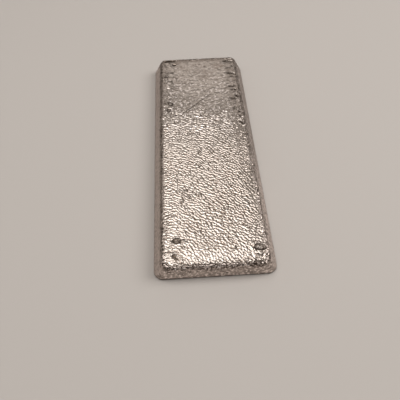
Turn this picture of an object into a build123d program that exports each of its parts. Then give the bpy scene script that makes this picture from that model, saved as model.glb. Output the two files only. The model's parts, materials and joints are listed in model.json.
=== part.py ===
from build123d import *
from math import radians, tan
import os

# A fusible alloy ingot, cast whole in an open mould and turned out onto its pour face.
# Millimetres, with X across the ingot, Y along it and Z up. The origin is at the middle of
# the pour face, which is the wide face that the ingot lies on.

# The body
length = 140.0  # end to end, over the rim of the pour face
width = 52.0  # side to side, over the rim of the pour face
height = 8.5  # from the pour face to the mould-bottom face
side_draft = 28.0  # degrees that the long walls lean in from upright
end_draft = 5.0  # degrees that the end walls lean in from upright
corner_radius = 4.0  # where a long wall meets an end wall
top_edge_radius = 1.8  # where the walls roll over into the mould-bottom face
rim_radius = 0.8  # the melt's surface rounds off the edge of the pour face

# Gas pits in the mould-bottom face. Each one has the side that it is near (-1 left, 1 right),
# the end that it is near (-1 front, 1 back), its distances in from the two, its width and
# its depth. Two pits that run together make a long one.
gas_pits = {
    "front right": (1, -1, 3.5, 8.0, 3.8, 0.5),
    "front left, outer": (-1, -1, 5.6, 12.9, 2.6, 0.4),
    "front left, inner": (-1, -1, 7.6, 12.7, 2.2, 0.3),
    "front left, near the end": (-1, -1, 5.0, 5.5, 2.0, 0.4),
    "front, right of the middle": (1, -1, 13.2, 8.6, 1.3, 0.25),
    "right side, near the back": (1, 1, 2.4, 30.4, 1.8, 0.35),
    "right side, farther in": (1, 1, 4.8, 37.4, 1.6, 0.3),
    "left side, past the middle": (-1, 1, 4.2, 42.0, 2.2, 0.4),
    "back left": (-1, 1, 4.7, 13.3, 2.6, 0.45),
    "back left, in the corner": (-1, 1, 8.3, 6.0, 1.8, 0.35),
    "back right, in the corner": (1, 1, 4.4, 6.0, 2.4, 0.35),
    "back right": (1, 1, 4.7, 11.7, 2.0, 0.3),
}


def rim_overhang(draft_angle):
    """How far rounding the rim pulls a wall's widest point in from its sharp lower edge."""
    half_corner = radians(90 - draft_angle) / 2
    return rim_radius * (1 / tan(half_corner) - 1)


# The pour face before its rim is rounded, and the mould-bottom face out to the walls
base_width = width + 2 * rim_overhang(side_draft)
base_length = length + 2 * rim_overhang(end_draft)
top_width = base_width - 2 * height * tan(radians(side_draft))
top_length = base_length - 2 * height * tan(radians(end_draft))

with BuildPart() as ingot:
    with BuildSketch(Plane.XY):
        Rectangle(base_width, base_length)
    extrude(amount=height)

    # The walls lean in from the edges of the pour face, the long ones more than the ends
    draft(ingot.faces().filter_by(Axis.X), Plane.XY, side_draft)
    draft(ingot.faces().filter_by(Axis.Y), Plane.XY, end_draft)

    upright_edges = ingot.edges().filter_by(lambda edge: edge.bounding_box().size.Z > height / 2)
    fillet(upright_edges, radius=corner_radius)
    fillet(ingot.faces().sort_by(Axis.Z)[0].edges(), radius=rim_radius)
    fillet(ingot.faces().sort_by(Axis.Z)[-1].edges(), radius=top_edge_radius)

    # Each pit is a shallow cap of a ball whose centre is above the face
    for side, end, from_side, from_end, pit_width, pit_depth in gas_pits.values():
        ball_radius = (pit_width**2 / 4 + pit_depth**2) / (2 * pit_depth)
        pit_x = side * (top_width / 2 - from_side)
        pit_y = end * (top_length / 2 - from_end)
        with Locations((pit_x, pit_y, height + ball_radius - pit_depth)):
            Sphere(ball_radius, rotation=(90, 0, 0), mode=Mode.SUBTRACT)

ingot.part.label = "ingot"
os.makedirs("parts", exist_ok=True)
export_step(ingot.part, "parts/ingot.step")
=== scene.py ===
import json
import math

import bpy
import numpy as np
from mathutils import Matrix, Vector

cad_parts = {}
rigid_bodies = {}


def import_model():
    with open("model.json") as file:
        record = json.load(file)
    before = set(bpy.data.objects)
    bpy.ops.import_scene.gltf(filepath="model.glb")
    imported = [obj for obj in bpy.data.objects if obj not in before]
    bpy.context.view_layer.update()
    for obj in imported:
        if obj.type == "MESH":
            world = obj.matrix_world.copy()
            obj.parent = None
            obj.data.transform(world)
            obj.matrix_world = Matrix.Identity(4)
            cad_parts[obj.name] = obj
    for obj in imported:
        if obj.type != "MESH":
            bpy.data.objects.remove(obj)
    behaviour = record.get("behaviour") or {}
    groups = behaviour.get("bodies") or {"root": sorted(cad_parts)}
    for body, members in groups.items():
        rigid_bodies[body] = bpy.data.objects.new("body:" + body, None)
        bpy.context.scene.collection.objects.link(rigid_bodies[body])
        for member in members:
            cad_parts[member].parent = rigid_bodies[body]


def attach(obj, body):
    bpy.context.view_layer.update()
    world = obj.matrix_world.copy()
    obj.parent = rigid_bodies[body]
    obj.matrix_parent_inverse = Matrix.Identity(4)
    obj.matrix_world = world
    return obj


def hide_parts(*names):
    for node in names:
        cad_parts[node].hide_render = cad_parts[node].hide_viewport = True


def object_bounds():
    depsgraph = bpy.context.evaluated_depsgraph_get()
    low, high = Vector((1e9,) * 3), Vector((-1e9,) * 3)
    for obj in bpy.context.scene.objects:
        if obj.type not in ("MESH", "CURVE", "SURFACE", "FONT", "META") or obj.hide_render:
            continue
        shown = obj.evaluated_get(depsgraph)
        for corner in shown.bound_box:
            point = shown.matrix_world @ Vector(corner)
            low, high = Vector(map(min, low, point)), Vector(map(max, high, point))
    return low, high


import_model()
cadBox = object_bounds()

mm = 0.001  # the sizes below are in millimetres and the scene is in metres


# Helpers for building node trees

def plug(tree, socket, value):
    if isinstance(value, bpy.types.NodeSocket):
        tree.links.new(value, socket)
    else:
        socket.default_value = value


def addNode(tree, kind, inputs=None, **settings):
    node = tree.nodes.new(kind)
    for name, value in settings.items():
        setattr(node, name, value)
    for name, value in (inputs or {}).items():
        plug(tree, node.inputs[name], value)
    return node


def calc(tree, operation, *values):
    node = addNode(tree, "ShaderNodeMath", operation=operation)
    for place, value in enumerate(values):
        plug(tree, node.inputs[place], value)
    return node.outputs[0]


def product(tree, first, *others):
    for other in others:
        first = calc(tree, "MULTIPLY", first, other)
    return first


def largest(tree, first, *others):
    for other in others:
        first = calc(tree, "MAXIMUM", first, other)
    return first


def without(tree, share):
    return calc(tree, "SUBTRACT", 1.0, share)


def vectorCalc(tree, operation, *values):
    node = addNode(tree, "ShaderNodeVectorMath", operation=operation)
    for place, value in enumerate(values):
        plug(tree, node.inputs[place], value)
    return node.outputs[0]


def splitVector(tree, vector):
    return addNode(tree, "ShaderNodeSeparateXYZ", {"Vector": vector}).outputs


def remap(tree, value, low, high, toLow=0.0, toHigh=1.0):
    node = addNode(tree, "ShaderNodeMapRange", interpolation_type="SMOOTHSTEP")
    for name, amount in (("Value", value), ("From Min", low), ("From Max", high),
                         ("To Min", toLow), ("To Max", toHigh)):
        plug(tree, node.inputs[name], amount)
    return node.outputs["Result"]


def noise(tree, vector, pitch, detail=1.0, roughness=0.5):
    # Noise about zero, with a lump for each pitch of millimetres
    scale = calc(tree, "DIVIDE", 1 / mm, pitch)
    node = addNode(tree, "ShaderNodeTexNoise",
                   {"Vector": vector, "Scale": scale, "Detail": detail, "Roughness": roughness})
    return calc(tree, "SUBTRACT", node.outputs[0], 0.5)


def ridgeWave(tree, where, pitch, length, straightness, turn):
    # Short ridges of one height that run at a right angle to turn, from 1 at a crest to -1
    ridges = addNode(tree, "ShaderNodeTexGabor", gabor_type="2D")
    for name, value in (("Vector", where), ("Anisotropy", straightness), ("Orientation", turn),
                        ("Scale", calc(tree, "DIVIDE", 1 / mm, length)),
                        ("Frequency", calc(tree, "DIVIDE", length, pitch))):
        plug(tree, ridges.inputs[name], value)
    wave = calc(tree, "COSINE", product(tree, ridges.outputs["Phase"], 2 * math.pi))
    faint = 0.12  # ridges weaker than this fade out
    return product(tree, wave, remap(tree, ridges.outputs["Intensity"], 0.0, faint))


# The body of the bar: drafted walls, rounded edges and a fine even mesh on the upper face

barSize = [(high - low) / mm for low, high in zip(*cadBox)]
bar = {
    "width": barSize[0], "length": barSize[1], "height": barSize[2],
    "sideDraft": 28.0, "endDraft": 5.0,  # degrees
    "cornerRadius": 4.0, "edgeRadius": 1.8, "rimRadius": 0.8,
    "meshStep": 0.305, "edgeRings": 9, "wallRings": 14, "rimRings": 4,
    "sheetNarrower": 2.0, "sheetShorter": 4.0,  # taken off before the mesh steps are counted
}
leanX = math.tan(math.radians(bar["sideDraft"]))
leanY = math.tan(math.radians(bar["endDraft"]))


def sharpHalf(size, draft):
    # Half the pour face's size before its rim is rounded off
    halfCorner = math.radians(90 - draft) / 2
    return size / 2 + bar["rimRadius"] * (1 / math.tan(halfCorner) - 1)


# Half the upper face, out to where its plane would meet the walls
bar["upperHalfX"] = sharpHalf(bar["width"], bar["sideDraft"]) - leanX * bar["height"]
bar["upperHalfY"] = sharpHalf(bar["length"], bar["endDraft"]) - leanY * bar["height"]


def walkOutline(acrossCount, alongCount):
    # Once round the bar, from the middle of the front left corner. Each point has the way it
    # faces and its place between two corner centres, where the centres lie at plus and minus 1.
    eighth = math.pi / 4
    arc = eighth * (bar["cornerRadius"] - bar["edgeRadius"])
    corners = [(-1, -1), (1, -1), (1, 1), (-1, 1)]
    facing, places = [], []
    for side in range(4):
        count = alongCount if side % 2 else acrossCount
        size = bar["length"] if side % 2 else bar["width"] - 2 * leanX * bar["height"]
        straight = size - 2 * bar["cornerRadius"]
        walk = np.arange(count) / count * (straight + 2 * arc)
        turn = np.minimum(walk / arc, 1) - 1 + np.clip((walk - arc - straight) / arc, 0, 1)
        facing.append((side - 1) * math.pi / 2 + turn * eighth)
        share = np.clip((walk - arc) / straight, 0, 1)[:, None]
        start, end = np.array(corners[side]), np.array(corners[(side + 1) % 4])
        places.append(start + (end - start) * share)
    return np.concatenate(facing), np.concatenate(places)


def ringAt(walk, leanLevel, pullIn, level):
    # A ring at a level, from the walls' outline at leanLevel, pulled in square to itself
    facing, place = walk
    centreX = sharpHalf(bar["width"], bar["sideDraft"]) - leanLevel * leanX - bar["cornerRadius"]
    centreY = sharpHalf(bar["length"], bar["endDraft"]) - leanLevel * leanY - bar["cornerRadius"]
    reach = bar["cornerRadius"] - pullIn
    x = place[:, 0] * centreX + np.cos(facing) * reach
    y = place[:, 1] * centreY + np.sin(facing) * reach
    return np.column_stack([x, y, np.broadcast_to(level, x.shape)])


def ringStack(walk):
    # From the edge of the upper face, over its rounded edge, down the wall and round the rim
    lean = np.arctan(np.abs(np.cos(walk[0])) * leanX + np.abs(np.sin(walk[0])) * leanY)
    edge, rim, height = bar["edgeRadius"], bar["rimRadius"], bar["height"]
    rings = []
    for tilt in np.linspace(math.pi / 2, lean, bar["edgeRings"] + 1):
        pullIn = edge / np.cos(lean) - edge * np.cos(tilt)
        rings.append(ringAt(walk, height - edge, pullIn, height - edge + edge * np.sin(tilt)))
    wallHead = height - edge + edge * np.sin(lean)
    wallFoot = rim + rim * np.sin(lean)
    for level in np.linspace(wallHead, wallFoot, bar["wallRings"] + 1)[1:-1]:
        rings.append(ringAt(walk, level, 0.0, level))
    for tilt in np.linspace(lean, np.full_like(lean, -math.pi / 2), bar["rimRings"] + 1):
        pullIn = rim / np.cos(lean) - rim * np.cos(tilt)
        rings.append(ringAt(walk, rim, pullIn, rim + rim * np.sin(tilt)))
    return rings


def faceSheet(edgeRing, across, along):
    # The upper face is blended from its four sides, so that its mesh stays even
    closed = np.vstack([edgeRing, edgeRing[:1]])
    front = closed[:across + 1]
    right = closed[across:across + along + 1]
    back = closed[across + along:2 * across + along + 1][::-1]
    left = closed[2 * across + along:][::-1]
    u = np.linspace(0, 1, across + 1)[None, :, None]
    v = np.linspace(0, 1, along + 1)[:, None, None]
    sheet = (1 - v) * front[None] + v * back[None] + (1 - u) * left[:, None] + u * right[:, None]
    return sheet - ((1 - u) * (1 - v) * front[0] + u * (1 - v) * front[-1]
                    + (1 - u) * v * back[0] + u * v * back[-1])


def makeBarMesh():
    upperWidth = bar["width"] - 2 * leanX * bar["height"]
    across = round((upperWidth - bar["sheetNarrower"]) / bar["meshStep"])
    along = round((bar["length"] - bar["sheetShorter"]) / bar["meshStep"])
    rings = ringStack(walkOutline(across, along))
    points = [faceSheet(rings[0], across, along).reshape(-1, 3)] + rings[1:]
    index = np.arange((across + 1) * (along + 1)).reshape(along + 1, across + 1)
    quads = [np.stack([index[:-1, :-1], index[:-1, 1:], index[1:, 1:], index[1:, :-1]], axis=-1)]
    upper = np.concatenate([index[0, :-1], index[:-1, -1], index[-1, :0:-1], index[:0:-1, 0]])
    made = index.size
    for ring in rings[1:]:
        lower = made + np.arange(len(ring))
        made += len(ring)
        quads.append(np.stack([upper, lower, np.roll(lower, -1), np.roll(upper, -1)], axis=-1))
        upper = lower
    faces = np.concatenate([quad.reshape(-1, 4) for quad in quads]).tolist()
    faces.append(upper[::-1].tolist())  # the pour face
    mesh = bpy.data.meshes.new("castIngot")
    mesh.from_pydata((np.concatenate(points) * mm).tolist(), [], faces)
    return mesh


ingot = bpy.data.objects.new("castIngot", makeBarMesh())
bpy.context.scene.collection.objects.link(ingot)
print("bar body:", len(ingot.data.polygons), "faces")


# The larger pits of the upper face: centre, width across, length along, turn in degrees,
# depth, height of the lip round them, and how much of their dark rim's painted shade their floor is
# spared

pits = {
    "frontRight": (18.5, -61.3, 5.4, 3.1, -12, 0.50, 0.16, 0.75),
    "frontRightBelow": (17.9, -64.8, 3.6, 1.1, -6, 0.22, 0.0, 0.3),
    "frontLeft": (-15.9, -56.2, 4.4, 2.6, -4, 0.50, 0.08, 0.15),
    "frontLeftTail": (-12.6, -56.5, 3.6, 1.6, -4, 0.16, 0.0, 0.6),
    "frontLeftGroove": (-18.4, -61.7, 6.6, 0.8, -5, 0.22, 0.05, 0.0),
    "nearFrontLeft": (-17.0, -63.3, 2.5, 1.9, -40, 0.45, 0.0, 0.0),
    "nearFrontLeftEnd": (-16.1, -64.8, 2.1, 1.7, 30, 0.35, 0.0, 0.0),
    "frontSpot": (8.8, -60.7, 1.4, 1.1, -40, 0.35, 0.0, 0.0),
    "rightGouge": (20.0, 12.9, 1.9, 4.2, 30, 0.60, 0.22, 0.0),
    "rightDot": (19.9, 20.8, 1.5, 1.8, 0, 0.3, 0.0, 0.0),
    "rightDotLower": (19.9, 17.4, 1.4, 1.6, 0, 0.3, 0.0, 0.0),
    "rightBackOuter": (19.8, 33.7, 1.9, 2.6, 20, 0.4, 0.0, 0.0),
    "rightBack": (19.4, 38.9, 1.5, 1.8, 0, 0.35, 0.04, 0.0),
    "rightBackInner": (17.6, 31.5, 3.8, 1.6, -8, 0.3, 0.0, 0.2),
    "rightBackFold": (17.7, 41.7, 3.6, 1.8, -6, 0.3, 0.05, 0.2),
    "leftMiddle": (-16.9, 29.4, 2.8, 3.8, 20, 0.30, 0.10, 0.6),
    "leftMiddleLower": (-17.9, 24.4, 2.2, 2.8, -10, 0.30, 0.10, 0.5),
    "leftMiddleDot": (-14.2, 20.3, 1.4, 1.3, 0, 0.35, 0.04, 0.0),
    "backLeft": (-16.9, 56.4, 4.4, 1.3, -10, 0.35, 0.08, 0.2),
    "backLeftOuter": (-19.0, 52.5, 2.6, 1.3, 8, 0.3, 0.0, 0.2),
    "backLeftInner": (-16.9, 48.6, 3.0, 1.2, 0, 0.20, 0.10, 0.4),
    "backLeftCorner": (-14.3, 63.4, 2.4, 2.2, 0, 0.4, 0.04, 0.0),
    "backLeftEdge": (-16.8, 67.2, 8.5, 1.9, 0, 0.35, 0.0, 0.0),
    "backRightFold": (17.8, 64.6, 6.2, 1.9, -4, 0.35, 0.12, 0.3),
    "backRightFoldLower": (17.4, 58.3, 3.6, 1.3, 4, 0.20, 0.08, 0.7),
    "backRightFoldThird": (18.7, 53.3, 6.0, 1.3, -16, 0.32, 0.10, 0.0),
}
pitFacts = ("halfWidth", "halfLength", "turn", "depth", "lip", "floor")


def makePitMarks():
    # One point for each pit, carrying its sizes for the skin's node tree
    mesh = bpy.data.meshes.new("pitMarks")
    level = bar["height"]
    mesh.from_pydata([(x * mm, y * mm, level * mm) for x, y, *_ in pits.values()], [], [])
    for place, fact in enumerate(pitFacts):
        values = [pit[2 + place] for pit in pits.values()]
        if fact.startswith("half"):
            values = [value / 2 * mm for value in values]
        elif fact == "turn":
            values = [math.radians(value) for value in values]
        elif fact != "floor":
            values = [value * mm for value in values]
        mesh.attributes.new(fact, "FLOAT", "POINT").data.foreach_set("value", values)
    marks = bpy.data.objects.new("pitMarks", mesh)
    bpy.context.scene.collection.objects.link(marks)
    return marks


# The skin that the mould left: wrinkles, grain and pits on the upper face, smoother walls

skin = {
    "Wrinkle Pitch": 1.27, "Back Pitch": 2.3, "Wrinkle Depth": 0.068, "Ridge Length": 1.6,
    "Breakup": 1.6, "Patch Pitch": 12.0, "Patch Base": 0.85,  # uneven strength of the ridges
    "Front Turn": -42.0, "Back Turn": 0.0,  # degrees that the ridges turn from straight across
    "Straightness": 0.64,  # how much the ridges keep to that
    "Sway": 85.0, "Sway Pitch": 9.0,  # degrees that they wander from it, and over how far
    "Back Calm": 0.75, "Right Calm": 0.25, "Front Calm": 0.25,  # shallower ridges near there
    "Grain Pitch": 0.8, "Grain Depth": 0.16, "Right Grain": 2.2, "Back Grain Loss": 0.45,
    "Swell Pitch": 15.0, "Swell Depth": 0.16,
    "Fold Pitch": 2.3, "Fold Depth": 0.52, "Back Folds": 0.7, "Side Folds": 0.45,
    "Crease Pitch": 1.7, "Crease Depth": 0.22, "Crease Shade": 0.8,
    "Edge Pitch": 0.95, "Edge Depth": 0.8,
    "Ragged": 3.0,  # how far the limits of the face and of its edge stray
    "Margin Pitch": 4.0, "Margin Ragged": 4.0,  # of the grainy strip along the right side
    "Wall Pitch": 7.0, "Wall Depth": 0.10, "End Pitch": 2.4, "End Depth": 0.35,
    "Grit Pitch": 1.6, "Grit Depth": 0.28,  # on the right wall
    "Front Roll": 0.45,  # how far the face drops over its last few millimetres at the front
    "Sink": 0.16,  # how far the skin's middle lies under the bar's flat face
    "Pit Smoothing": 0.8,  # how much of the other relief a pit wipes out
    "Pinhole Density": 0.55,  # per square millimetre
    "Pinhole Width": 0.75, "Pinhole Depth": 0.22,
    "Seed": 7,
}

# For each kind of relief: its noise's detail, and a number under 1 if it is drawn out sideways
reliefNoise = {
    "Grain": (2.0, 1.0), "Swell": (1.0, 1.0), "Fold": (1.5, 1.0), "Crease": (1.0, 0.35),
    "Margin": (2.0, 1.0), "Edge": (2.0, 1.0), "Wall": (3.0, 1.0), "End": (2.0, 0.5),
    "Grit": (2.0, 1.0),
}

# For each fact of a pinhole: the input that it is a share of, and its least and largest share
pinholeFacts = {
    "halfWidth": ("Pinhole Width", 0.25, 0.75),
    "halfLength": ("Pinhole Width", 0.25, 0.75),
    "depth": ("Pinhole Depth", 0.4, 1.0),
}

# Where the parts of a pit start and where they are whole, in half sizes from its middle
pitRings = {
    "inside": (1.2, 0.8), "floor": (0.74, 0.5), "lipStart": (0.85, 1.15), "lipEnd": (1.75, 1.2),
}

skinLimits = {
    "endsShorter": 0.8, "towardsFront": 0.3,  # the skin's outline beside the upper face's
    "endFacing": (0.45, 0.8),  # how far along the bar a wall looks, for it to be an end
    "downFacing": (-0.95, -0.3),  # how far down a face looks, for it to stay flat
    "creaseNoise": (0.13, 0.2),  # the noise at which a crease starts, and is whole
    "rimWobble": 0.9, "wobbleScale": 1100.0, "wobbleDetail": 2.0,  # the pits' ragged rims
}

# Where one kind of surface fades into another: the millimetres where it starts and where it is
# whole, and the amounts there if they aren't 0 and 1. Left and front are minus.
zones = {
    # In from the outline of the upper face
    "face": (0.7, 1.4), "frontSpecks": (3.4, 1.4),
    # Across the bar
    "straightLeft": (-14, -18), "leftBack": (-15, -19), "leftMargin": (-17, -20),
    "foldedSides": (10, 17), "rightStrip": (13, 18), "rightMargin": (16.8, 19.5),
    "rightFlank": (17, 20), "rightWall": (19, 21),
    # Along it
    "slant": (45, -40), "widePitch": (-5, 50), "backThird": (3, 46), "foldsBegin": (-5, 12),
    "rightCreases": (-20, 20, 0.2, 1.0), "widerMargin": (-42, -15, 0.0, 2.2 * mm),
    "backEdge": (64.6, 66.6, 0.0, 2.1), "calmFront": (-59, -64), "frontRoll": (-61, -68),
    "frontBand": (-60, -65), "frontEdge": (-60, -66), "edgeSpecks": (-60, -66, 0.55, 1.0),
    "wallShadeRight": (-35, 5, 0.0, 0.5), "wallShadeLeft": (-40, 40, 0.03, 0.12),
    "tarnishAndBackShade": (30, 62, 0.1, 1.4), "paintedGlintStart": (0, 15, 0.0, 0.95),
    "paintedGlintStop": (42, 58, 1.0, 0.35), "fineGrain": (0, 45, 1.0, 0.3),
    # Up it
    "edge": (6.3, 7.4), "wall": (7.6, 6.7), "upperWall": (1.5, 7.0, 0.2, 1.0),
    "endSpecks": (4.0, 7.2, 0.0, 0.85), "footShade": (1.65, 0.55, 0.0, 0.85),
}

# What the skin stores at each point for the metal's material to read
storedNames = ("faceShare", "edgeShare", "dullEdge", "endShare", "turn", "speckled", "strength",
               "inPit")


def fade(tree, value, zone):
    # How much of a zone there is, by a place on the bar in metres
    start, whole, *amounts = zones[zone]
    return remap(tree, value, start * mm, whole * mm, *amounts)


def roundedInset(tree, across, along):
    # How far a point lies inside the outline of the upper face's skin
    radius = bar["cornerRadius"] * mm
    halfX, halfY = bar["upperHalfX"] * mm, (bar["upperHalfY"] - skinLimits["endsShorter"]) * mm
    pastX = calc(tree, "SUBTRACT", calc(tree, "ABSOLUTE", across), halfX - radius)
    pastY = calc(tree, "ABSOLUTE", calc(tree, "ADD", along, skinLimits["towardsFront"] * mm))
    pastY = calc(tree, "SUBTRACT", pastY, halfY - radius)
    cornerX, cornerY = (calc(tree, "MAXIMUM", past, 0.0) for past in (pastX, pastY))
    corner = calc(tree, "MULTIPLY_ADD", cornerY, cornerY, product(tree, cornerX, cornerX))
    corner = calc(tree, "SQRT", corner)
    within = calc(tree, "MINIMUM", largest(tree, pastX, pastY), 0.0)
    return calc(tree, "SUBTRACT", radius, calc(tree, "ADD", corner, within))


def ridgeTurn(tree, given, at):
    # The ridges run straight across at the back and slant towards the front
    start, whole = zones["slant"]
    turn = remap(tree, at["along"], start * mm, whole * mm, given["Back Turn"], given["Front Turn"])
    turn = product(tree, turn, without(tree, fade(tree, at["across"], "straightLeft")))
    sway = noise(tree, at["where"], given["Sway Pitch"])
    sway = calc(tree, "MULTIPLY_ADD", sway, given["Sway"], 90.0)
    return calc(tree, "RADIANS", calc(tree, "ADD", turn, sway))


def ridgePitch(tree, along, front, back):
    # The ridges are wider apart towards the back
    start, whole = zones["widePitch"]
    return remap(tree, along, start * mm, whole * mm, front, back)


def storeValue(tree, geometry, name, value):
    return addNode(tree, "GeometryNodeStoreNamedAttribute",
                   {"Geometry": geometry, "Name": name, "Value": value},
                   data_type="FLOAT", domain="POINT").outputs[0]


def pitField(tree, pitPoints, where):
    # For the nearest pit: how far a point is inside it, how much painted shade it gets, and its
    # rise or fall
    nearest = addNode(tree, "GeometryNodeSampleNearest",
                      {"Geometry": pitPoints, "Sample Position": where}, domain="POINT").outputs[0]

    def atNearest(value, kind="FLOAT"):
        return addNode(tree, "GeometryNodeSampleIndex",
                       {"Geometry": pitPoints, "Index": nearest, "Value": value},
                       data_type=kind, domain="POINT").outputs[0]

    middle = atNearest(addNode(tree, "GeometryNodeInputPosition").outputs[0], "FLOAT_VECTOR")
    fact = {}
    for name in pitFacts:
        stored = addNode(tree, "GeometryNodeInputNamedAttribute", {"Name": name}, data_type="FLOAT")
        fact[name] = atNearest(stored.outputs[0])

    ragged = addNode(tree, "ShaderNodeTexNoise",
                     {"Vector": where, "Scale": skinLimits["wobbleScale"],
                      "Detail": skinLimits["wobbleDetail"]}).outputs["Color"]
    wobble = vectorCalc(tree, "SUBTRACT", ragged, (0.5, 0.5, 0.5))
    reach = skinLimits["rimWobble"] * mm
    away = vectorCalc(tree, "SUBTRACT", where, middle)
    away = vectorCalc(tree, "MULTIPLY_ADD", wobble, (reach, reach, 0.0), away)
    away = addNode(tree, "ShaderNodeVectorRotate",
                   {"Vector": away, "Angle": product(tree, fact["turn"], -1.0)},
                   rotation_type="Z_AXIS").outputs[0]
    awayX, awayY, awayZ = splitVector(tree, away)
    across = calc(tree, "DIVIDE", awayX, fact["halfWidth"])
    along = calc(tree, "DIVIDE", awayY, fact["halfLength"])
    down = calc(tree, "DIVIDE", awayZ, fact["halfWidth"])
    distance = calc(tree, "ADD", product(tree, across, across), product(tree, along, along))
    distance = calc(tree, "SQRT", calc(tree, "MULTIPLY_ADD", down, down, distance))

    ring = {name: remap(tree, distance, *limits) for name, limits in pitRings.items()}
    # Painted shade: dark inside the pit, less so on its floor
    pitShade = calc(tree, "SUBTRACT", ring["inside"], product(tree, ring["floor"], fact["floor"]))
    lip = product(tree, ring["lipStart"], ring["lipEnd"], fact["lip"])
    relief = calc(tree, "SUBTRACT", lip, product(tree, ring["inside"], fact["depth"]))
    return ring["inside"], pitShade, relief


def pinholes(tree, given, body, edgeShare):
    # Small holes scattered over the rounded edge, as points with the same facts as the pits
    scatter = addNode(tree, "GeometryNodeDistributePointsOnFaces", {"Mesh": body},
                      distribute_method="RANDOM")
    density = product(tree, given["Pinhole Density"], 1 / (mm * mm), edgeShare)
    plug(tree, scatter.inputs["Density"], density)
    plug(tree, scatter.inputs["Seed"], given["Seed"])
    points = scatter.outputs["Points"]
    for order, (fact, (scaledBy, least, most)) in enumerate(pinholeFacts.items()):
        draw = addNode(tree, "FunctionNodeRandomValue", {"Seed": order}, data_type="FLOAT")
        plug(tree, draw.inputs[2], least * mm)  # the sockets of a plain number
        plug(tree, draw.inputs[3], most * mm)
        points = storeValue(tree, points, fact, product(tree, draw.outputs[1], given[scaledBy]))
    return points


def lumps(tree, given, at, name):
    # The noise of one kind of relief, about zero
    detail, drawnOut = reliefNoise[name]
    where = vectorCalc(tree, "MULTIPLY", at["where"], (drawnOut, 1.0, 1.0))
    return noise(tree, where, given[name + " Pitch"], detail)


def lumpyRelief(tree, given, at, name):
    # The same in millimetres
    return product(tree, lumps(tree, given, at, name), given[name + " Depth"])


def skinPoint(tree, given):
    # The place of each point on the bar, and how far it belongs to each kind of surface
    where = addNode(tree, "GeometryNodeInputPosition").outputs[0]
    normal = addNode(tree, "GeometryNodeInputNormal").outputs[0]
    across, along, up = splitVector(tree, where)
    facing = splitVector(tree, normal)
    at = {"where": where, "normal": normal, "across": across, "along": along}
    ragged = product(tree, lumps(tree, given, at, "Edge"), given["Ragged"], mm)
    inset = calc(tree, "ADD", roundedInset(tree, across, along), ragged)
    at["faceShare"] = fade(tree, inset, "face")
    at["edgeShare"] = product(tree, fade(tree, calc(tree, "ADD", up, ragged), "edge"),
                              without(tree, at["faceShare"]))
    at["wallShare"] = fade(tree, up, "wall")
    at["endShare"] = remap(tree, calc(tree, "ABSOLUTE", facing["Y"]), *skinLimits["endFacing"])
    at["keepFlat"] = remap(tree, facing["Z"], *skinLimits["downFacing"])
    at["backThird"] = fade(tree, along, "backThird")

    # The grainy margin along the right side is ragged, and widens from the front
    margin = product(tree, given["Margin Ragged"], mm)
    margin = calc(tree, "MULTIPLY_ADD", lumps(tree, given, at, "Margin"), margin,
                  fade(tree, along, "widerMargin"))
    at["rightMargin"] = fade(tree, calc(tree, "ADD", across, margin), "rightMargin")

    leftMargin = product(tree, fade(tree, across, "leftMargin"), at["backThird"])
    backEdge = fade(tree, calc(tree, "ADD", along, ragged), "backEdge")
    at["dullEdge"] = largest(tree, at["rightMargin"], leftMargin, backEdge)

    frontSpecks = product(tree, fade(tree, inset, "frontSpecks"), fade(tree, along, "frontBand"),
                          at["faceShare"])
    edgeSpecks = product(tree, at["edgeShare"], fade(tree, along, "edgeSpecks"))
    at["speckled"] = largest(tree, edgeSpecks, frontSpecks)
    return at


def ridgeStrength(tree, given, at):
    # Patchy, and less near the right side, the back and the front
    patch = noise(tree, at["where"], given["Patch Pitch"])
    strength = calc(tree, "ADD", given["Patch Base"], patch)
    strength = calc(tree, "MULTIPLY_ADD", noise(tree, at["where"], given["Wrinkle Pitch"]),
                    given["Breakup"], strength)
    for name, share in (("Right Calm", at["rightMargin"]), ("Back Calm", at["backThird"]),
                        ("Front Calm", fade(tree, at["along"], "calmFront"))):
        strength = product(tree, strength, without(tree, product(tree, share, given[name])))
    return strength


def creaseShare(tree, given, at):
    # Short creases run in from the right side, and from the left one at the back
    leftBack = product(tree, fade(tree, at["across"], "leftBack"), at["backThird"])
    rightStrip = product(tree, fade(tree, at["across"], "rightStrip"),
                         fade(tree, at["along"], "rightCreases"))
    crease = remap(tree, lumps(tree, given, at, "Crease"), *skinLimits["creaseNoise"])
    return product(tree, crease, largest(tree, leftBack, rightStrip))


def faceRelief(tree, given, at, strength, crease):
    # The upper face: ridges, folds, creases, the roll at the front, grain and broad swells
    pitch = ridgePitch(tree, at["along"], given["Wrinkle Pitch"], given["Back Pitch"])
    wave = ridgeWave(tree, at["where"], pitch, given["Ridge Length"], given["Straightness"],
                     at["turn"])
    relief = product(tree, wave, strength, given["Wrinkle Depth"])

    sides = product(tree, fade(tree, calc(tree, "ABSOLUTE", at["across"]), "foldedSides"),
                    fade(tree, at["along"], "foldsBegin"), given["Side Folds"])
    folded = calc(tree, "MULTIPLY_ADD", at["backThird"], given["Back Folds"], sides)
    fold = lumpyRelief(tree, given, at, "Fold")
    relief = calc(tree, "MULTIPLY_ADD", fold, folded, relief)

    relief = calc(tree, "SUBTRACT", relief, product(tree, crease, given["Crease Depth"]))
    roll = product(tree, fade(tree, at["along"], "frontRoll"), given["Front Roll"])
    relief = calc(tree, "SUBTRACT", relief, roll)

    grain = lumpyRelief(tree, given, at, "Grain")
    grain = calc(tree, "MULTIPLY_ADD", product(tree, grain, at["rightMargin"]),
                 given["Right Grain"], grain)
    grainLoss = product(tree, at["backThird"], given["Back Grain Loss"])
    grain = product(tree, grain, without(tree, grainLoss))
    relief = calc(tree, "ADD", relief, grain)
    swell = lumpyRelief(tree, given, at, "Swell")
    return calc(tree, "ADD", relief, calc(tree, "SUBTRACT", swell, given["Sink"]))


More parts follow.
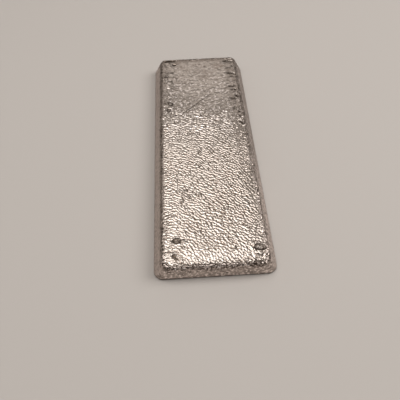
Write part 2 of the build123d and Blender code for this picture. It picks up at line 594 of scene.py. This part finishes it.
def skinRelief(tree, given, at, strength, crease):
    # The face, the edge and the walls together, in metres out from the bar
    relief = product(tree, faceRelief(tree, given, at, strength, crease), at["faceShare"])
    ends = product(tree, at["wallShare"], at["endShare"])
    rightWall = product(tree, fade(tree, at["across"], "rightWall"), at["wallShare"])
    for name, share in (("Edge", at["edgeShare"]), ("Wall", at["wallShare"]), ("End", ends),
                        ("Grit", rightWall)):
        lumpy = lumpyRelief(tree, given, at, name)
        relief = calc(tree, "MULTIPLY_ADD", lumpy, share, relief)
    return product(tree, relief, mm)


def makeSkinTree():
    tree = bpy.data.node_groups.new("castSkin", "GeometryNodeTree")
    tree.is_modifier = True
    tree.interface.new_socket("Geometry", in_out="INPUT", socket_type="NodeSocketGeometry")
    for name, value in skin.items():
        kind = "NodeSocketInt" if name == "Seed" else "NodeSocketFloat"
        tree.interface.new_socket(name, in_out="INPUT", socket_type=kind).default_value = value
    tree.interface.new_socket("Pit Marks", in_out="INPUT", socket_type="NodeSocketObject")
    tree.interface.new_socket("Metal", in_out="INPUT", socket_type="NodeSocketMaterial")
    tree.interface.new_socket("Geometry", in_out="OUTPUT", socket_type="NodeSocketGeometry")
    given = tree.nodes.new("NodeGroupInput").outputs

    at = skinPoint(tree, given)
    at["turn"] = ridgeTurn(tree, given, at)
    strength = ridgeStrength(tree, given, at)
    crease = creaseShare(tree, given, at)
    relief = skinRelief(tree, given, at, strength, crease)

    pitObject = addNode(tree, "GeometryNodeObjectInfo", {"Object": given["Pit Marks"]})
    inPit, pitShadeNear, pitRelief = pitField(tree, pitObject.outputs["Geometry"], at["where"])
    holePoints = pinholes(tree, given, given["Geometry"], at["edgeShare"])
    _, pinholeShade, holeRelief = pitField(tree, holePoints, at["where"])
    smoothed = without(tree, product(tree, inPit, given["Pit Smoothing"]))
    relief = calc(tree, "ADD", product(tree, relief, smoothed),
                  calc(tree, "ADD", pitRelief, holeRelief))
    relief = product(tree, relief, at["keepFlat"])
    shift = addNode(tree, "ShaderNodeVectorMath", {0: at["normal"], "Scale": relief},
                    operation="SCALE").outputs[0]
    made = addNode(tree, "GeometryNodeSetPosition",
                   {"Geometry": given["Geometry"], "Offset": shift}).outputs[0]

    # What the metal's material reads
    at["strength"] = product(tree, strength, smoothed, at["faceShare"])
    # inPit carries painted shade: dark in the pits, the pinholes and the creases
    at["inPit"] = largest(tree, pitShadeNear, pinholeShade, product(tree, crease, given["Crease Shade"]))
    for name in storedNames:
        made = storeValue(tree, made, name, at[name])
    made = addNode(tree, "GeometryNodeSetShadeSmooth", {"Geometry": made}).outputs[0]
    made = addNode(tree, "GeometryNodeRealizeInstances", {"Geometry": made}).outputs[0]
    made = addNode(tree, "GeometryNodeSetMaterial",
                   {"Geometry": made, "Material": given["Metal"]}).outputs[0]
    tree.links.new(made, tree.nodes.new("NodeGroupOutput").inputs[0])
    return tree


# The metal: pale and bright on the wrinkles, dull grey on the walls, with painted shade in the
# pits, valleys, creases, along the edge and at the walls' foot, and painted glints

metalLook = {
    "faceColour": (0.57, 0.505, 0.45, 1.0), "valleyShadeAndStainColour": (0.205, 0.143, 0.105, 1.0),
    "wallColour": (0.60, 0.51, 0.46, 1.0), "streakAndShadeColour": (0.16, 0.13, 0.11, 1.0),
    "edgeColour": (0.34, 0.28, 0.24, 1.0), "glintColour": (0.95, 0.85, 0.80, 1.0),
    "shadeAndMarkColour": (0.075, 0.056, 0.042, 1.0),
    "faceRoughness": 0.17, "edgeRoughness": 0.30, "wallRoughness": 0.5,
    "marginRougher": 0.03, "rightSmoother": 0.05, "frontSmoother": 0.08,
    "valleyShadeStrength": 0.9, "tarnish": 0.45, "dullEdge": 0.4, "pores": 0.8,  # strengths on the face
    "valleyShadeWave": (-0.1, -0.85),  # how far down a wrinkle its painted shade starts and is whole
    "streaks": 0.85, "grit": 0.75, "gritLeft": 0.3, "gritEnds": 0.6,  # and on the walls
    "glintRight": 0.5, "glintEnds": 0.9,
    "edgeOnRight": 0.9, "edgeLeast": 0.35,  # the painted shade on the edge is lighter at the right and the front
    "wallStretch": (0.35, 0.35, 1.0), "tarnishStretch": (0.5, 1.0, 1.0),
    "crispness": 0.05,  # bump on the skin's own ridges, for what its mesh is too coarse to show
}

# Marks in the metal: millimetres from lump to lump, the noise's detail and roughness, and the
# noise at which a mark starts and at which it is whole
marks = {
    "streak": (1.5, 4.0, 0.65, 0.02, 0.12),
    "grit": (1.2, 2.0, 0.5, -0.02, 0.09),
    "glint": (1.2, 2.0, 0.5, -0.04, -0.11),
    "tarnish": (4.0, 4.0, 0.6, -0.1, 0.2),
    "pore": (0.55, 1.0, 0.5, 0.12, 0.2),
    "paintedGlint": (1.7, 1.0, 0.5, 0.02, 0.18),  # painted glints on the folds at the back
    "speck": (0.75, 1.0, 0.5, 0.02, 0.08),
}

# Fine bumps: millimetres from lump to lump, the noise's detail, and the depth in millimetres
bumps = {"grain": (0.5, 3.0, 0.08), "wall": (1.6, 3.0, 0.30), "rightWall": (1.0, 2.0, 0.14)}

scratchLook = {
    "middle": (-2.9 * mm, 28.3 * mm, 0.0), "turn": math.radians(43.6),
    "half": 11.9 * mm, "fullHalf": 9.52 * mm,  # half its length, and as far as it is whole
    "reach": 0.36 * mm, "fullReach": 0.072 * mm,  # the same to each side of its line
    "strength": 0.95,
}


def blendColour(tree, share, low, high):
    node = addNode(tree, "ShaderNodeMix", data_type="RGBA")
    plug(tree, node.inputs["Factor"], share)
    for name, colour in (("A", low), ("B", high)):
        socket = next(s for s in node.inputs if s.name == name and s.type == "RGBA")
        plug(tree, socket, colour)
    return next(s for s in node.outputs if s.type == "RGBA")


def marked(tree, place, name):
    # 0 where a mark isn't, and 1 where it is whole
    pitch, detail, roughness, start, whole = marks[name]
    return remap(tree, noise(tree, place, pitch, detail, roughness), start, whole)


def between(tree, share, low, high):
    return remap(tree, share, 0.0, 1.0, low, high)


def stretched(tree, place, scale):
    return addNode(tree, "ShaderNodeMapping", {"Vector": place, "Scale": scale}).outputs[0]


def metalPoint(tree):
    # What the skin stored at each point, and where the point is on the bar
    at = {name: addNode(tree, "ShaderNodeAttribute", attribute_name=name).outputs["Fac"]
          for name in storedNames}
    at["place"] = addNode(tree, "ShaderNodeTexCoord").outputs["Object"]
    at["across"], at["along"], at["up"] = splitVector(tree, at["place"])
    at["onRight"] = fade(tree, at["across"], "rightFlank")
    at["front"] = fade(tree, at["along"], "frontEdge")
    at["drawnDown"] = stretched(tree, at["place"], metalLook["wallStretch"])
    at["offFace"] = without(tree, at["faceShare"])
    return at


def wallColour(tree, at):
    # Grit on all the walls, streaks and glints on the ends and high on the right one, and painted
    # shade towards the back of the long walls and at the foot
    upperRight = product(tree, at["onRight"], fade(tree, at["up"], "upperWall"))
    streak = product(tree, marked(tree, at["drawnDown"], "streak"), at["endShare"],
                     metalLook["streaks"])
    gritty = between(tree, largest(tree, at["endShare"], upperRight),
                     metalLook["gritLeft"], metalLook["grit"])
    grit = product(tree, marked(tree, at["place"], "grit"), gritty,
                   between(tree, at["endShare"], 1.0, metalLook["gritEnds"]))
    colour = blendColour(tree, largest(tree, streak, grit),
                         metalLook["wallColour"], metalLook["streakAndShadeColour"])

    # Painted shade: the long walls are darker towards the back
    paintedWallShade = product(tree, at["onRight"], fade(tree, at["along"], "wallShadeRight"))
    paintedWallShade = calc(tree, "MULTIPLY_ADD", fade(tree, at["across"], "leftMargin"),
               fade(tree, at["along"], "wallShadeLeft"), paintedWallShade)
    colour = blendColour(tree, paintedWallShade, colour, metalLook["streakAndShadeColour"])

    glinting = largest(tree, product(tree, upperRight, metalLook["glintRight"]),
                       product(tree, at["endShare"], metalLook["glintEnds"]))
    glint = product(tree, marked(tree, at["place"], "glint"), glinting)
    colour = blendColour(tree, glint, colour, metalLook["glintColour"])
    # Painted shade: the walls go near black at their foot
    return blendColour(tree, fade(tree, at["up"], "footShade"), colour, metalLook["shadeAndMarkColour"])


def scratchShare(tree, place):
    # One long shallow scratch across the upper face
    away = vectorCalc(tree, "SUBTRACT", place, scratchLook["middle"])
    away = addNode(tree, "ShaderNodeVectorRotate", {"Vector": away, "Angle": -scratchLook["turn"]},
                   rotation_type="Z_AXIS").outputs[0]
    alongLine, offLine = (calc(tree, "ABSOLUTE", part) for part in splitVector(tree, away)[:2])
    return product(tree, remap(tree, alongLine, scratchLook["half"], scratchLook["fullHalf"]),
                   remap(tree, offLine, scratchLook["reach"], scratchLook["fullReach"]))


# Painted shade in the valleys, dark pores, tarnished places that darken further towards the back as
# painted shade, and painted glints on the folds
def faceColour(tree, at, wave):
    # Dark in the valleys, pores and tarnished places, pale where the folds are worn
    # Painted shade down in the wrinkles' valleys
    valleyShade = product(tree, remap(tree, wave, *metalLook["valleyShadeWave"]), metalLook["valleyShadeStrength"],
                     at["strength"])
    drawnOut = stretched(tree, at["place"], metalLook["tarnishStretch"])
    # Tarnish patches, strengthened towards the back as painted shade
    tarnish = product(tree, marked(tree, drawnOut, "tarnish"), metalLook["tarnish"],
                      fade(tree, at["along"], "tarnishAndBackShade"))
    pore = product(tree, marked(tree, at["place"], "pore"), metalLook["pores"])
    colour = blendColour(tree, largest(tree, valleyShade, tarnish, pore),
                         metalLook["faceColour"], metalLook["valleyShadeAndStainColour"])
    # Painted glints: pale spots on the folds towards the back
    paintedGlint = product(tree, marked(tree, at["place"], "paintedGlint"), fade(tree, at["along"], "paintedGlintStart"),
                   fade(tree, at["along"], "paintedGlintStop"))
    colour = blendColour(tree, paintedGlint, colour, metalLook["glintColour"])
    # Painted shade with the rougher skin: the margins and the back edge are darkened
    dull = product(tree, at["dullEdge"], metalLook["dullEdge"])
    colour = blendColour(tree, dull, colour, metalLook["edgeColour"])
    scratch = product(tree, scratchShare(tree, at["place"]), at["faceShare"],
                      scratchLook["strength"])
    return blendColour(tree, scratch, colour, metalLook["shadeAndMarkColour"])


def metalColour(tree, at, wave):
    colour = blendColour(tree, at["faceShare"], wallColour(tree, at), faceColour(tree, at, wave))
    # Painted shade along the rounded edge, lighter at the right and the front
    soft = largest(tree, at["front"], product(tree, at["onRight"], metalLook["edgeOnRight"]))
    edge = product(tree, at["edgeShare"], between(tree, soft, 1.0, metalLook["edgeLeast"]))
    colour = blendColour(tree, edge, colour, metalLook["edgeColour"])
    specked = largest(tree, at["speckled"],
                      product(tree, at["endShare"], fade(tree, at["up"], "endSpecks")))
    speck = product(tree, marked(tree, at["place"], "speck"), specked)
    # Painted shade in the pits, pinholes and creases, and dark specks
    return blendColour(tree, largest(tree, at["inPit"], speck), colour, metalLook["shadeAndMarkColour"])


def metalRoughness(tree, at):
    rough = between(tree, at["faceShare"], metalLook["wallRoughness"], metalLook["faceRoughness"])
    rough = calc(tree, "ADD", rough, product(tree, at["dullEdge"], metalLook["marginRougher"]))
    rough = calc(tree, "SUBTRACT", rough,
                 product(tree, at["offFace"], at["onRight"], metalLook["rightSmoother"]))
    rough = between(tree, at["edgeShare"], rough, metalLook["edgeRoughness"])
    return calc(tree, "SUBTRACT", rough,
                product(tree, at["edgeShare"], at["front"], metalLook["frontSmoother"]))


def bumpHeight(tree, at, wave):
    # In millimetres
    height = product(tree, wave, at["strength"], metalLook["crispness"])
    onRightWall = product(tree, at["offFace"], at["onRight"])
    for name, place, share in (("grain", at["place"], fade(tree, at["along"], "fineGrain")),
                               ("wall", at["drawnDown"], at["offFace"]),
                               ("rightWall", at["place"], onRightWall)):
        pitch, detail, depth = bumps[name]
        lumpy = product(tree, noise(tree, place, pitch, detail), share)
        height = calc(tree, "MULTIPLY_ADD", lumpy, depth, height)
    return height


def makeCastMetal():
    metal = bpy.data.materials.new("castAlloy")
    metal.use_nodes = True
    tree = metal.node_tree
    shader = tree.nodes["Principled BSDF"]
    shader.inputs["Metallic"].default_value = 1.0
    at = metalPoint(tree)
    pitch = ridgePitch(tree, at["along"], skin["Wrinkle Pitch"], skin["Back Pitch"])
    wave = ridgeWave(tree, at["place"], pitch, skin["Ridge Length"], skin["Straightness"],
                     at["turn"])
    plug(tree, shader.inputs["Base Color"], metalColour(tree, at, wave))
    plug(tree, shader.inputs["Roughness"], metalRoughness(tree, at))
    bump = addNode(tree, "ShaderNodeBump",
                   {"Strength": 1.0, "Distance": mm, "Height": bumpHeight(tree, at, wave)})
    plug(tree, shader.inputs["Normal"], bump.outputs[0])
    return metal


def dressIngot():
    tree = makeSkinTree()
    given = {**skin, "Pit Marks": makePitMarks(), "Metal": makeCastMetal()}
    modifier = ingot.modifiers.new("castSkin", "NODES")
    modifier.node_group = tree
    for item in tree.interface.items_tree:
        if item.in_out == "INPUT" and item.name in given:
            modifier[item.identifier] = given[item.name]
    bpy.context.view_layer.update()
    evaluated = ingot.evaluated_get(bpy.context.evaluated_depsgraph_get())
    skinned = bpy.data.meshes.new_from_object(evaluated)
    ingot.modifiers.remove(modifier)
    ingot.data = skinned
    bpy.data.objects.remove(given["Pit Marks"])
    print("skin and metal:", len(skinned.vertices), "points")


dressIngot()
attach(ingot, "root")
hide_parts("ingot")


# The floor

floorLook = {"colour": (0.49, 0.449, 0.414, 1.0), "roughness": 0.75, "specular": 0.2, "half": 3.0}


def makeFloor():
    half = floorLook["half"]
    corners = [(-half, -half, 0), (half, -half, 0), (half, half, 0), (-half, half, 0)]
    mesh = bpy.data.meshes.new("floor")
    mesh.from_pydata(corners, [], [(0, 1, 2, 3)])
    floor = bpy.data.objects.new("floor", mesh)
    bpy.context.scene.collection.objects.link(floor)
    paint = bpy.data.materials.new("floorPaint")
    paint.use_nodes = True
    shader = paint.node_tree.nodes["Principled BSDF"]
    shader.inputs["Base Color"].default_value = floorLook["colour"]
    shader.inputs["Roughness"].default_value = floorLook["roughness"]
    shader.inputs["Specular IOR Level"].default_value = floorLook["specular"]
    mesh.materials.append(paint)
    print("floor ready")


makeFloor()


# Soft studio light: an even world, and square panels above the bar and on its four sides, each
# aimed at it. Places and sizes are in metres and powers in watts.

studio = {
    "world": (0.30, 0.283, 0.267, 1.0),
    "panels": {
        "overhead": {"place": (-0.13, 0.10, 0.69), "size": 0.45, "power": 1.85},
        "behind": {"place": (0.10, 1.09, 0.70), "size": 0.50, "power": 0.36,
                   "tint": (1.0, 0.96, 0.93)},
        "front": {"place": (0.10, -1.05, 0.65), "size": 0.80, "power": 0.85},
        "right": {"place": (0.90, 0.10, 0.85), "size": 0.60, "power": 8.6},
        "left": {"place": (-1.00, -0.10, 0.85), "size": 1.20, "power": 1.8},
    },
}


def makeStudio():
    scene = bpy.context.scene
    scene.view_settings.view_transform = "Standard"
    scene.world = bpy.data.worlds.new("studio")
    scene.world.use_nodes = True
    scene.world.node_tree.nodes["Background"].inputs["Color"].default_value = studio["world"]
    for name, look in studio["panels"].items():
        lamp = bpy.data.lights.new(name, "AREA")
        lamp.shape = "SQUARE"
        lamp.size = look["size"]
        lamp.energy = look["power"]
        lamp.color = look.get("tint", (1.0, 1.0, 1.0))
        panel = bpy.data.objects.new(name, lamp)
        aim = (-Vector(look["place"])).to_track_quat("-Z", "Y")
        panel.matrix_world = Matrix.Translation(look["place"]) @ aim.to_matrix().to_4x4()
        scene.collection.objects.link(panel)
    print("studio ready")


makeStudio()


# The camera, just in front of the ingot and looking down along it

photoCamera = {
    "place": (-8.96, -140.52, 154.93), "turn": 2.338, "dip": 54.457, "roll": -1.300,
    "lens": 36.0, "sensor": 36.0, "clipStart": 0.01,
}


def makeCamera():
    lens = bpy.data.cameras.new("photoCamera")
    lens.lens = photoCamera["lens"]
    lens.sensor_width = photoCamera["sensor"]
    lens.clip_start = photoCamera["clipStart"]
    camera = bpy.data.objects.new("photoCamera", lens)
    aim = (Matrix.Rotation(math.radians(-photoCamera["turn"]), 4, "Z")
           @ Matrix.Rotation(math.radians(90 - photoCamera["dip"]), 4, "X")
           @ Matrix.Rotation(math.radians(photoCamera["roll"]), 4, "Z"))
    camera.matrix_world = Matrix.Translation(Vector(photoCamera["place"]) * mm) @ aim
    bpy.context.scene.collection.objects.link(camera)
    bpy.context.scene.camera = camera
    print("camera ready")


makeCamera()
bpy.context.view_layer.update()
